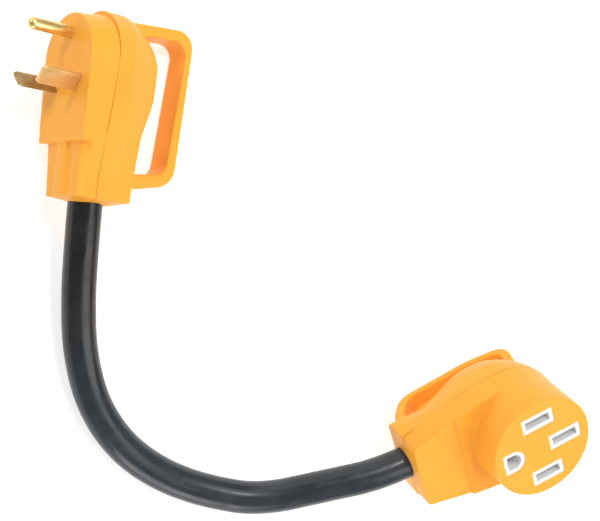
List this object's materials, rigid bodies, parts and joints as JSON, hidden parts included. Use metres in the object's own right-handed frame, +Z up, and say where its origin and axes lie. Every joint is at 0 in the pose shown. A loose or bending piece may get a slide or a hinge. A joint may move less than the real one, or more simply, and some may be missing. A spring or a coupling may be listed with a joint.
{
  "type": "power adapter dogbone",
  "caption": "Short dogbone power adapter: a right-angle pronged plug and a right-angle round socket connector, both with pull handles, joined by a thick black cable.",
  "frame": {"origin": "middle of the underside of the two housings together, on the surface that the adapter lies on", "axes": "+Z up from the surface; -X towards the plug; -Y towards the cable's bend"},
  "size_m": [0.3028, 0.2454, 0.0929],
  "materials": {
    "housing": "satin yellow-orange moulding",
    "cable_jacket": "smooth black thermoplastic elastomer with a soft sheen",
    "brass": "bright drawn brass",
    "white_insert": "moulded white",
    "plug_core": "moulded off-white",
    "copper_strap": "plain copper alloy",
    "black_lead": "smooth",
    "white_lead": "smooth",
    "green_lead": "smooth"
  },
  "bodies": {
    "root": {"plug_front_shell": "housing", "plug_rear_shell": "housing", "plug_core": "plug_core", "hot_blade": "brass", "neutral_blade": "brass", "plug_ground_pin": "brass", "plug_hot_lead": "black_lead", "plug_neutral_lead": "white_lead", "plug_ground_lead": "green_lead", "cable_jacket": "cable_jacket", "connector_front_shell": "housing", "connector_rear_shell": "housing", "connector_insert": "white_insert", "hot_x_contact": "brass", "hot_y_contact": "brass", "neutral_contact": "brass", "connector_ground_contact": "brass", "hot_jumper_strap": "copper_strap", "connector_hot_lead": "black_lead", "connector_neutral_lead": "white_lead", "connector_ground_lead": "green_lead"}
  },
  "joints": []
}
